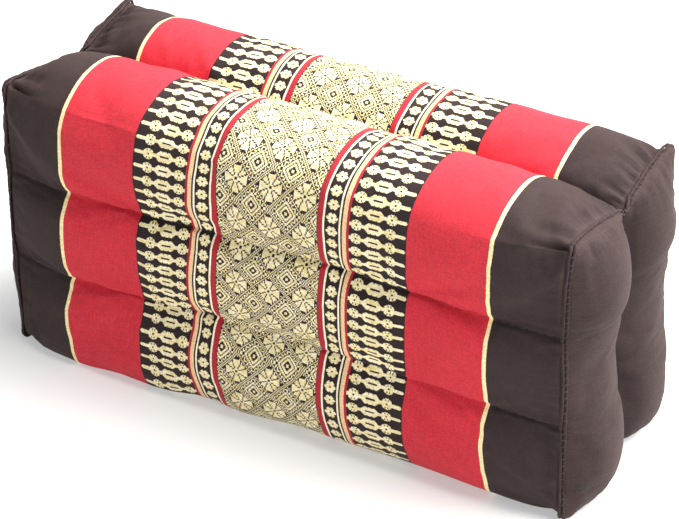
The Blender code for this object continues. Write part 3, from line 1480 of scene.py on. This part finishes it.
class Wiring:
    """Adds and joins the nodes of one node tree."""

    def __init__(self, tree: bpy.types.NodeTree) -> None:
        """Keeps the tree."""
        self.tree = tree

    def add(self, kind: str, **settings) -> bpy.types.Node:
        """Adds a node.

        Args:
            kind: the node's type, without its leading word ShaderNode.
            **settings: the node's own properties.

        Returns:
            The node.
        """
        node = self.tree.nodes.new("ShaderNode" + kind)
        for name, value in settings.items():
            setattr(node, name, value)
        return node

    def feed(self, socket: bpy.types.NodeSocket, value) -> None:
        """Joins an output to a socket, or sets the socket's own value."""
        if isinstance(value, bpy.types.NodeSocket):
            self.tree.links.new(value, socket)
        else:
            socket.default_value = value

    def math(self, operation: str, *values) -> bpy.types.NodeSocket:
        """A sum on one to three numbers or outputs.

        Args:
            operation: the Math node's operation.
            *values: its inputs.

        Returns:
            The result's output.
        """
        node = self.add("Math", operation=operation)
        for socket, value in zip(node.inputs, values):
            self.feed(socket, value)
        return node.outputs[0]

    def mix(self, share, first, second) -> bpy.types.NodeSocket:
        """A colour between two colours.

        Args:
            share: how much of the second colour there is.
            first: the first colour.
            second: the second colour.

        Returns:
            The colour's output.
        """
        node = self.add("Mix", data_type="RGBA")
        self.feed(node.inputs[0], share)
        self.feed(node.inputs[6], first)
        self.feed(node.inputs[7], second)
        return node.outputs[2]

    def vector(self, x, y, z=0.0) -> bpy.types.NodeSocket:
        """A vector from three numbers or outputs."""
        node = self.add("CombineXYZ")
        for socket, value in zip(node.inputs, (x, y, z)):
            self.feed(socket, value)
        return node.outputs[0]

    def noise(self, vector, scale: float, detail: float = 2.0) -> bpy.types.NodeSocket:
        """Soft noise from 0 to 1 at a vector.

        Args:
            vector: where it is read.
            scale: how many swells there are in one unit.
            detail: how many finer layers it has.

        Returns:
            The noise's output.
        """
        node = self.add("TexNoise")
        self.feed(node.inputs["Vector"], vector)
        node.inputs["Scale"].default_value = scale
        node.inputs["Detail"].default_value = detail
        return node.outputs[0]

    def remapped(
        self, value: bpy.types.NodeSocket, table: tuple[tuple[float, float], ...]
    ) -> bpy.types.NodeSocket:
        """A number passed through a table of straight steps.

        Args:
            value: the number.
            table: its values and what becomes of them, both growing.

        Returns:
            The result's output.
        """
        low, size = table[0][0], table[-1][0] - table[0][0]
        node = self.add("FloatCurve")
        curve = node.mapping.curves[0]
        node.mapping.use_clip = False
        node.mapping.extend = "EXTRAPOLATED"
        for n, (found, even) in enumerate(table):
            place = ((found - low) / size, (even - low) / size)
            if n == 0:
                curve.points[0].location = place
            elif n == len(table) - 1:
                curve.points[-1].location = place
            else:
                curve.points.new(*place)
        for point in curve.points:
            point.handle_type = "VECTOR"
        node.mapping.update()
        self.feed(node.inputs["Value"], self.math("DIVIDE", self.math("SUBTRACT", value, low), size))
        return self.math("MULTIPLY_ADD", node.outputs[0], size, low)

    def group(self, tree: bpy.types.NodeTree, **values) -> bpy.types.Node:
        """Places a node group.

        Args:
            tree: the group.
            **values: its inputs, with _ for a space in a name.

        Returns:
            The group's node.
        """
        node = self.add("Group", node_tree=tree)
        for name, value in values.items():
            self.feed(node.inputs[name.replace("_", " ")], value)
        return node


def new_group(name: str, inputs: dict[str, float], outputs: dict[str, str]) -> tuple[Wiring, dict, dict]:
    """Starts a shader node group.

    Args:
        name: the group's name.
        inputs: the plain number of each input, by name.
        outputs: the kind of each output, Float or Color, by name.

    Returns:
        The group's wiring, its inputs' sockets and the sockets that its outputs take.
    """
    tree = bpy.data.node_groups.new(name, "ShaderNodeTree")
    for title, value in inputs.items():
        socket = tree.interface.new_socket(name=title, in_out="INPUT", socket_type="NodeSocketFloat")
        socket.default_value = value
    for title, kind in outputs.items():
        tree.interface.new_socket(name=title, in_out="OUTPUT", socket_type="NodeSocket" + kind)
    entry = tree.nodes.new("NodeGroupInput")
    leave = tree.nodes.new("NodeGroupOutput")
    return (
        Wiring(tree),
        {title: entry.outputs[title] for title in inputs},
        {title: leave.inputs[title] for title in outputs},
    )


@dataclass(frozen=True)
class ClothGroups:
    """The shader node groups that the cloths share, each built once."""

    weave: bpy.types.NodeTree
    rubbed: bpy.types.NodeTree
    pattern: bpy.types.NodeTree

    CHART_BITS = 20

    @classmethod
    def make(cls) -> "ClothGroups":
        """Builds all the groups."""
        return cls(weave=cls.make_weave(), rubbed=cls.make_rubbed(), pattern=cls.make_pattern())

    @staticmethod
    def make_weave() -> bpy.types.NodeTree:
        """A plain weave with uneven threads.

        Returns:
            The group. U and V are places on the flat cloth and Thread is the distance between two
            threads, all in millimetres. Height and Shade run from 0 to 1. Shade is the threads' random
            grain, with painted shade where the weave's height dips.
        """
        w, given, out = new_group(
            "plain weave",
            {"U": 0.0, "V": 0.0, "Thread": 0.42, "Slub": 0.5},
            {"Height": "Float", "Shade": "Float"},
        )
        u, v = given["U"], given["V"]
        wander_u = w.noise(w.vector(w.math("MULTIPLY", u, 0.8), w.math("MULTIPLY", v, 0.25)), 1.0)
        wander_v = w.noise(w.vector(w.math("MULTIPLY", u, 0.25), w.math("MULTIPLY", v, 0.8), 7.0), 1.0)
        shift = w.math("MULTIPLY", w.math("SUBTRACT", wander_u, 0.5), 0.9)
        lift = w.math("MULTIPLY", w.math("SUBTRACT", wander_v, 0.5), 0.9)
        turn_u = w.math("DIVIDE", w.math("MULTIPLY", w.math("ADD", u, shift), math.pi), given["Thread"])
        turn_v = w.math("DIVIDE", w.math("MULTIPLY", w.math("ADD", v, lift), math.pi), given["Thread"])
        over = w.math("MULTIPLY", w.math("SINE", turn_u), w.math("SINE", turn_v))
        weave = w.math("MULTIPLY_ADD", over, 0.5, 0.5)
        along = w.noise(w.vector(w.math("MULTIPLY", u, 1.25), w.math("MULTIPLY", v, 0.10), 3.0), 1.0, 3.0)
        across = w.noise(w.vector(w.math("MULTIPLY", u, 0.12), w.math("MULTIPLY", v, 1.25), 11.0), 1.0, 3.0)
        slubs = w.math("MULTIPLY", w.math("ADD", along, across), 0.5)
        fleck = w.noise(w.vector(u, v, 19.0), 1.4, 2.0)
        uneven = w.math("MULTIPLY_ADD", w.math("SUBTRACT", fleck, 0.5), 1.2, slubs)
        slub = given["Slub"]
        w.feed(out["Height"], w.math("MULTIPLY_ADD", w.math("SUBTRACT", slubs, 0.5), slub, weave))
        # Shade: random grain from the slubs and flecks, plus painted shade where the weave's height dips.
        w.feed(out["Shade"], w.math("MULTIPLY_ADD", w.math("SUBTRACT", weave, 0.5), 0.35, uneven))
        return w.tree

    @staticmethod
    def make_rubbed() -> bpy.types.NodeTree:
        """Where the cloth is rubbed paler, along seams and on the crowns.

        Returns:
            The group. Rub and the result, Wear, run from 0 to 1.
        """
        w, given, out = new_group(
            "rubbed cloth",
            {"Rub": 0.0, "U": 0.0, "V": 0.0, "Amount": 0.5},
            {"Wear": "Float"},
        )
        patchy = w.noise(w.vector(given["U"], given["V"], 31.0), 0.11, 4.0)
        fuzz = w.noise(w.vector(given["U"], given["V"], 37.0), 0.9, 3.0)
        wear = w.math("MULTIPLY", given["Rub"], w.math("MULTIPLY_ADD", patchy, 1.2, -0.1))
        wear = w.math("MULTIPLY", wear, w.math("MULTIPLY_ADD", fuzz, 1.0, 0.4))
        w.feed(out["Wear"], w.math("MULTIPLY", wear, given["Amount"]))
        return w.tree

    @classmethod
    def make_motif(cls, chart: Chart) -> bpy.types.NodeTree:
        """Reads one chart.

        Args:
            chart: the chart.

        Returns:
            The group. U and V are places on the flat cloth in millimetres, U from the pattern's
            middle, and Pick is 1 on a pale pick and 0 on the ground.
        """
        w, given, out = new_group(chart.name, {"U": 0.0, "V": 0.0}, {"Pick": "Float"})
        bits, count = cls.CHART_BITS, len(chart.rows)
        columns = len(chart.rows[0])
        wide = columns // chart.halves
        u = w.math("PINGPONG", w.math("SUBTRACT", given["U"], chart.origin), chart.width)
        v = w.math("PINGPONG", w.math("SUBTRACT", given["V"], chart.phase), chart.height)
        column = w.math("FLOOR", w.math("MULTIPLY", u, wide / chart.width))
        column = w.math("MINIMUM", column, wide - 1.0)
        if chart.halves == 2:
            column = w.math("MULTIPLY_ADD", cls.zigzag(w, given, chart), float(wide), column)
        row = w.math("FLOOR", w.math("MULTIPLY", v, count / chart.height))
        row = w.math("MINIMUM", row, count - 1.0)
        drum = w.add("ValToRGB")
        drum.color_ramp.interpolation = "CONSTANT"
        stops = drum.color_ramp.elements
        for n, parts in enumerate(chart.channels(bits)):
            stop = stops[n] if n < 2 else stops.new(n / count)
            stop.position = n / count
            stop.color = (*parts, 1.0)
        w.feed(drum.inputs[0], w.math("DIVIDE", w.math("ADD", row, 0.5), float(count)))
        split = w.add("SeparateColor")
        w.feed(split.inputs[0], drum.outputs[0])
        if columns <= bits:
            picked = split.outputs[0]
            bit = column
        else:
            third = w.math("FLOOR", w.math("DIVIDE", w.math("ADD", column, 0.5), float(bits)))
            bit = w.math("SUBTRACT", column, w.math("MULTIPLY", third, float(bits)))
            picked = w.math("MULTIPLY", split.outputs[0], w.math("LESS_THAN", third, 0.5))
            middle = w.math("COMPARE", third, 1.0, 0.1)
            picked = w.math("MULTIPLY_ADD", split.outputs[1], middle, picked)
            picked = w.math("MULTIPLY_ADD", split.outputs[2], w.math("GREATER_THAN", third, 1.5), picked)
        whole = w.math("MULTIPLY_ADD", picked, float(1 << bits), 0.5)
        shifted = w.math("FLOOR", w.math("DIVIDE", whole, w.math("POWER", 2.0, bit)))
        pick = w.math("MODULO", shifted, 2.0)
        past_start = w.math("GREATER_THAN", given["U"], chart.start)
        inside = w.math("MULTIPLY", past_start, w.math("LESS_THAN", given["U"], chart.end))
        w.feed(out["Pick"], w.math("MULTIPLY", pick, inside))
        return w.tree

    @staticmethod
    def zigzag(w: Wiring, given: dict, chart: Chart) -> bpy.types.NodeSocket:
        """Which version of a chart's quarter repeat is woven here, so that its lines zigzag.

        Args:
            w: the wiring of the chart's group.
            given: the group's inputs.
            chart: the chart.

        Returns:
            0 for the first version and 1 for the second.
        """
        from_origin = w.math("SUBTRACT", given["U"], chart.origin)
        across = w.math("FLOOR", w.math("DIVIDE", from_origin, chart.width))
        up = w.math("FLOOR", w.math("DIVIDE", w.math("SUBTRACT", given["V"], chart.phase), chart.height))
        flower = w.math("FLOOR", w.math("MULTIPLY", w.math("ADD", up, 1.0), 0.5))
        total = w.math("ADD", w.math("SUBTRACT", across, up), flower)
        return w.math("FLOORED_MODULO", total, 2.0)

    @classmethod
    def make_pattern(cls) -> bpy.types.NodeTree:
        """The woven stripes and motifs.

        Returns:
            The group. U and V are places on the flat cloth in millimetres. Color is the yarn's
            colour, and Pick is 1 where a pale pick floats over the ground.
        """
        outputs = {"Color": "Color", "Pick": "Float"}
        w, given, out = new_group("stripes and motifs", {"U": 0.0, "V": 0.0}, outputs)
        fray = w.noise(w.vector(given["U"], given["V"], 3.0), 1.9, 1.0)
        fray = w.math("MULTIPLY", w.math("SUBTRACT", fray, 0.5), 0.34)
        drift = w.noise(w.vector(given["U"], given["V"], 13.0), 1.9, 1.0)
        drift = w.math("MULTIPLY", w.math("SUBTRACT", drift, 0.5), 0.34)
        across = w.math("ADD", given["U"], fray)
        u = w.math("ABSOLUTE", across)
        v = w.math("ADD", given["V"], drift)
        colour = STRIPES[0][1].colour
        for (limit, _), (_, yarn) in zip(STRIPES, STRIPES[1:]):
            colour = w.mix(w.math("GREATER_THAN", u, limit), colour, yarn.colour)
        pick = w.group(cls.make_motif(FIELD), U=across, V=w.remapped(v, LATTICE_BEAT)).outputs["Pick"]
        for chart in (CHAINS, MEDALLIONS):
            found = w.group(cls.make_motif(chart), U=u, V=v).outputs["Pick"]
            pick = w.math("ADD", found, pick)
        tone = w.noise(w.vector(w.math("MULTIPLY", given["U"], 0.35), given["V"], 23.0), 0.5, 3.0)
        tone = w.math("MULTIPLY_ADD", w.math("SUBTRACT", tone, 0.5), 2.2, 0.5)
        tone = w.math("MINIMUM", w.math("MAXIMUM", tone, 0.0), 1.0)
        thread = w.mix(tone, Yarn.GOLD.colour, Yarn.PALE.colour)
        w.feed(out["Color"], w.mix(pick, colour, thread))
        w.feed(out["Pick"], pick)
        return w.tree


def flat_cloth(w: Wiring) -> tuple[bpy.types.NodeSocket, bpy.types.NodeSocket]:
    """The flat cloth's coordinates at a shaded point, in millimetres.

    Args:
        w: the material's wiring.

    Returns:
        The outputs for u and v.
    """
    source = w.add("UVMap", uv_map="cloth")
    parts = w.add("SeparateXYZ")
    w.feed(parts.inputs[0], source.outputs[0])
    return w.math("MULTIPLY", parts.outputs[0], 1000.0), w.math("MULTIPLY", parts.outputs[1], 1000.0)


def started_material(name: str) -> tuple[bpy.types.Material, Wiring, bpy.types.Node]:
    """A new material with its Principled shader.

    Args:
        name: the material's name.

    Returns:
        The material, its wiring and the shader.
    """
    material = bpy.data.materials.new(name)
    material.use_nodes = True
    return material, Wiring(material.node_tree), material.node_tree.nodes["Principled BSDF"]


def toned(w: Wiring, colour, shade, depth: float, wear, wear_colour) -> bpy.types.NodeSocket:
    """A cloth's colour with its threads' random grain and painted weave shade, and its wear.

    Args:
        w: the material's wiring.
        colour: the plain colour.
        shade: the weave's grain with its painted shade in the weave's hollows, from 0 to 1.
        depth: how strongly the shade tells.
        wear: how worn the cloth is, from 0 to 1.
        wear_colour: the colour of worn cloth.

    Returns:
        The colour's output.
    """
    factor = w.math("MULTIPLY_ADD", w.math("SUBTRACT", shade, 0.5), depth, 1.0)
    scaled = w.add("Mix", data_type="RGBA", blend_type="MULTIPLY")
    scaled.inputs[0].default_value = 1.0
    w.feed(scaled.inputs[6], colour)
    w.feed(scaled.inputs[7], w.vector(factor, factor, factor))
    return w.mix(wear, scaled.outputs[2], wear_colour)


@dataclass(frozen=True)
class PatternedCloth:
    """The wrap's woven cotton, with its stripes and motifs."""

    groups: ClothGroups
    thread: float = 0.43
    relief: float = 0.00022
    sheen: float = 0.06

    def make(self) -> bpy.types.Material:
        """Builds the material."""
        material, w, shader = started_material("patterned cotton")
        u, v = flat_cloth(w)
        pattern = w.group(self.groups.pattern, U=u, V=v)
        weave = w.group(self.groups.weave, U=u, V=v, Thread=self.thread, Slub=0.8)
        rub = w.add("Attribute", attribute_name=RUB_LAYER)
        wear = w.group(self.groups.rubbed, U=u, V=v, Rub=rub.outputs["Fac"], Amount=0.16).outputs[0]
        worn = w.mix(0.5, pattern.outputs["Color"], linear(206, 176, 168))
        colour = toned(w, pattern.outputs["Color"], weave.outputs["Shade"], 0.8, wear, worn)
        w.feed(shader.inputs["Base Color"], colour)
        rough = w.math("MULTIPLY_ADD", weave.outputs["Shade"], -0.12, 0.88)
        w.feed(shader.inputs["Roughness"], w.math("MULTIPLY_ADD", pattern.outputs["Pick"], -0.1, rough))
        raised = w.math("MULTIPLY_ADD", pattern.outputs["Pick"], 0.9, weave.outputs["Height"])
        bump = w.add("Bump")
        bump.inputs["Strength"].default_value = 0.7
        bump.inputs["Distance"].default_value = self.relief
        w.feed(bump.inputs["Height"], raised)
        w.feed(shader.inputs["Normal"], bump.outputs[0])
        shader.inputs["Specular IOR Level"].default_value = 0.25
        shader.inputs["Sheen Weight"].default_value = self.sheen
        shader.inputs["Sheen Roughness"].default_value = 0.45
        shader.inputs["Sheen Tint"].default_value = linear(240, 200, 192)
        return material


@dataclass(frozen=True)
class PlainCloth:
    """Plain brown cotton, for the end panels, their seams and the covered ends."""

    groups: ClothGroups
    name: str = "brown cotton"
    yarn: Yarn = Yarn.BROWN
    thread: float = 0.43
    relief: float = 0.0002
    sheen: float = 0.06
    on_flat_cloth: bool = True

    def make(self) -> bpy.types.Material:
        """Builds the material."""
        material, w, shader = started_material(self.name)
        if self.on_flat_cloth:
            u, v = flat_cloth(w)
            rub = w.add("Attribute", attribute_name=RUB_LAYER).outputs["Fac"]
        else:
            source = w.add("TexCoord")
            parts = w.add("SeparateXYZ")
            w.feed(parts.inputs[0], source.outputs["Object"])
            u = w.math("MULTIPLY", w.math("ADD", parts.outputs[0], parts.outputs[1]), 1000.0)
            v = w.math("MULTIPLY", w.math("ADD", parts.outputs[2], parts.outputs[1]), 1000.0)
            rub = 0.8
        weave = w.group(self.groups.weave, U=u, V=v, Thread=self.thread, Slub=0.8)
        wear = w.group(self.groups.rubbed, U=u, V=v, Rub=rub, Amount=0.25).outputs[0]
        colour = toned(w, self.yarn.colour, weave.outputs["Shade"], 1.1, wear, linear(104, 80, 78))
        w.feed(shader.inputs["Base Color"], colour)
        w.feed(shader.inputs["Roughness"], w.math("MULTIPLY_ADD", weave.outputs["Shade"], -0.12, 0.9))
        bump = w.add("Bump")
        bump.inputs["Strength"].default_value = 0.7
        bump.inputs["Distance"].default_value = self.relief
        w.feed(bump.inputs["Height"], weave.outputs["Height"])
        w.feed(shader.inputs["Normal"], bump.outputs[0])
        shader.inputs["Specular IOR Level"].default_value = 0.25
        shader.inputs["Sheen Weight"].default_value = self.sheen
        shader.inputs["Sheen Roughness"].default_value = 0.45
        shader.inputs["Sheen Tint"].default_value = linear(240, 200, 192)
        return material


@dataclass(frozen=True)
class Thread:
    """Twisted sewing thread, with painted shade in the grooves between its plies."""

    name: str
    colour: tuple[float, float, float]
    twist: float = 0.5

    def make(self) -> bpy.types.Material:
        """Builds the material."""
        material, w, shader = started_material(self.name)
        parts = w.add("SeparateXYZ")
        w.feed(parts.inputs[0], w.add("TexCoord").outputs["Object"])
        sum_xy = w.math("ADD", parts.outputs[0], parts.outputs[1])
        place = w.math("MULTIPLY", w.math("ADD", sum_xy, parts.outputs[2]), 1000.0 * math.tau / self.twist)
        ply = w.math("MULTIPLY_ADD", w.math("SINE", place), 0.5, 0.5)
        # Painted shade: the colour darkens to 0.55 where the twist's bump dips, in the grooves between the
        # plies.
        dark = tuple(part * 0.55 for part in linear(*self.colour)[:3])
        w.feed(shader.inputs["Base Color"], w.mix(ply, (*dark, 1.0), linear(*self.colour)))
        w.feed(shader.inputs["Roughness"], w.math("MULTIPLY_ADD", ply, -0.15, 0.75))
        bump = w.add("Bump")
        bump.inputs["Distance"].default_value = 0.0001
        w.feed(bump.inputs["Height"], ply)
        w.feed(shader.inputs["Normal"], bump.outputs[0])
        shader.inputs["Sheen Weight"].default_value = 0.2
        return material


@dataclass
class Studio:
    """The pale floor, the soft lights and the camera."""

    camera_place: tuple[float, float, float] = (0.67660, -1.11143, 0.87650)
    azimuth: float = 31.0888
    elevation: float = 31.6410
    roll: float = -0.4523
    lens: float = 2721.0 / 679.0 * 36.0
    floor_size: float = 8.0

    def floor(self) -> bpy.types.Object:
        """Builds the floor.

        Returns:
            The floor, which isn't part of the object.
        """
        mesh = bmesh.new()
        bmesh.ops.create_grid(mesh, x_segments=4, y_segments=4, size=self.floor_size / 2.0)
        thing = mesh_object("floor", mesh)
        material, w, shader = started_material("pale floor")
        source = w.add("TexCoord").outputs["Object"]
        tone = w.noise(source, 3.0, 2.0)
        w.feed(shader.inputs["Base Color"], w.mix(tone, linear(188, 188, 188), linear(192, 192, 192)))
        shader.inputs["Roughness"].default_value = 0.8
        shader.inputs["Emission Color"].default_value = (1.0, 1.0, 1.0, 1.0)
        shader.inputs["Emission Strength"].default_value = 0.36
        thing.data.materials.append(material)
        return thing

    def lamp(self, name: str, place: Vector, aim: Vector, size: float, power: float, colour) -> None:
        """Adds a soft square lamp.

        Args:
            name: its name.
            place: where it hangs.
            aim: what it points at.
            size: its side.
            power: its power, in watts.
            colour: its colour.
        """
        data = bpy.data.lights.new(name, "AREA")
        data.shape = "SQUARE"
        data.size = size
        data.energy = power
        data.color = colour
        thing = bpy.data.objects.new(name, data)
        thing.location = place
        thing.rotation_mode = "QUATERNION"
        thing.rotation_quaternion = (aim - place).to_track_quat("-Z", "Y")
        bpy.context.scene.collection.objects.link(thing)

    def lights(self) -> None:
        """Adds the lamps and the even light of the room."""
        aim = Vector((0.0, 0.0, 0.09))
        self.lamp("key", Vector((0.85, 0.65, 1.48)), aim, 2.1, 165.0, (1.0, 0.985, 0.965))
        self.lamp("fill", Vector((0.25, -1.8, 0.65)), aim, 1.4, 9.5, (0.98, 0.99, 1.0))
        world = bpy.data.worlds.new("room")
        world.use_nodes = True
        world.node_tree.nodes["Background"].inputs[0].default_value = (1.0, 1.0, 1.0, 1.0)
        world.node_tree.nodes["Background"].inputs[1].default_value = 0.30
        bpy.context.scene.world = world
        bpy.context.scene.view_settings.view_transform = "Standard"

    def camera(self) -> bpy.types.Object:
        """Adds the camera at the photograph's viewing angle.

        Returns:
            The camera.
        """
        azimuth, elevation, roll = (math.radians(v) for v in (self.azimuth, self.elevation, self.roll))
        back = Vector(
            (
                math.sin(azimuth) * math.cos(elevation),
                -math.cos(azimuth) * math.cos(elevation),
                math.sin(elevation),
            )
        )
        right = Vector((math.cos(azimuth), math.sin(azimuth), 0.0))
        up = back.cross(right)
        turned_right = right * math.cos(roll) + up * math.sin(roll)
        turned_up = up * math.cos(roll) - right * math.sin(roll)
        data = bpy.data.cameras.new("camera")
        data.lens = self.lens
        data.sensor_width = 36.0
        data.clip_start, data.clip_end = 0.05, 30.0
        thing = bpy.data.objects.new("camera", data)
        turn = Matrix((turned_right, turned_up, back)).transposed().to_4x4()
        thing.matrix_world = Matrix.Translation(self.camera_place) @ turn
        bpy.context.scene.collection.objects.link(thing)
        bpy.context.scene.camera = thing
        return thing


@dataclass
class Cushion:
    """The whole cushion: its wrap, panels, seams and stitches, dressed and riding on the CAD body."""

    form: CushionForm
    groups: ClothGroups

    def ride(self, thing: bpy.types.Object, slot: str, *materials: bpy.types.Material) -> None:
        """Dresses a piece and lets it ride on the cushion's body.

        Args:
            thing: the piece.
            slot: not used.
            *materials: its materials, in the order of its slots.
        """
        thing.data.materials.clear()
        for material in materials:
            thing.data.materials.append(material)
        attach(thing, BODY)
        log.info("%s: %d faces", thing.name, len(thing.data.polygons))

    def build(self) -> None:
        """Builds every piece of the cushion."""
        patterned = PatternedCloth(self.groups).make()
        brown = PlainCloth(self.groups).make()
        seam_cloth = PlainCloth(self.groups, name="seam cotton", on_flat_cloth=False).make()
        dark_thread = Thread("dark sewing thread", (46, 36, 36)).make()

        builder = FilledWrap(self.form, ClothMeasure(self.form))
        wrap = builder.build()
        wrap.name = "padded_wrap"
        panels = {side: EndPanel(side).build(wrap) for side in Side}
        seams = {side: EndSeam(side).build(builder, wrap) for side in Side}
        stitches = ChannelStitches().build(builder, wrap)
        loose = LooseThread().build(builder.seam_line(wrap, Side.LEFT)[0])

        self.ride(wrap, "patterned_cloth", patterned, brown)
        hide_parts("filled_wrap")
        for side, panel in panels.items():
            self.ride(panel, "plain_cloth", brown)
            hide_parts(f"end_panel_{side.word}")
        for ridge_wrap, ridge_panel, sewing in seams.values():
            self.ride(ridge_wrap, "plain_cloth", seam_cloth)
            self.ride(ridge_panel, "plain_cloth", seam_cloth)
            self.ride(sewing, "plain_cloth", dark_thread)
        self.ride(stitches, "patterned_cloth", dark_thread)
        self.ride(loose, "plain_cloth", dark_thread)


def main() -> None:
    """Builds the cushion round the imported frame, and the studio that it is seen in."""
    logging.basicConfig(level=logging.INFO, format="%(name)s: %(message)s")
    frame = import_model()
    log.info("frame with nodes %s", ", ".join(sorted(frame["nodes"])))
    studio = Studio()
    studio.camera()
    studio.lights()
    studio.floor()
    Cushion(CushionForm(), ClothGroups.make()).build()


if __name__ == "__main__":
    main()
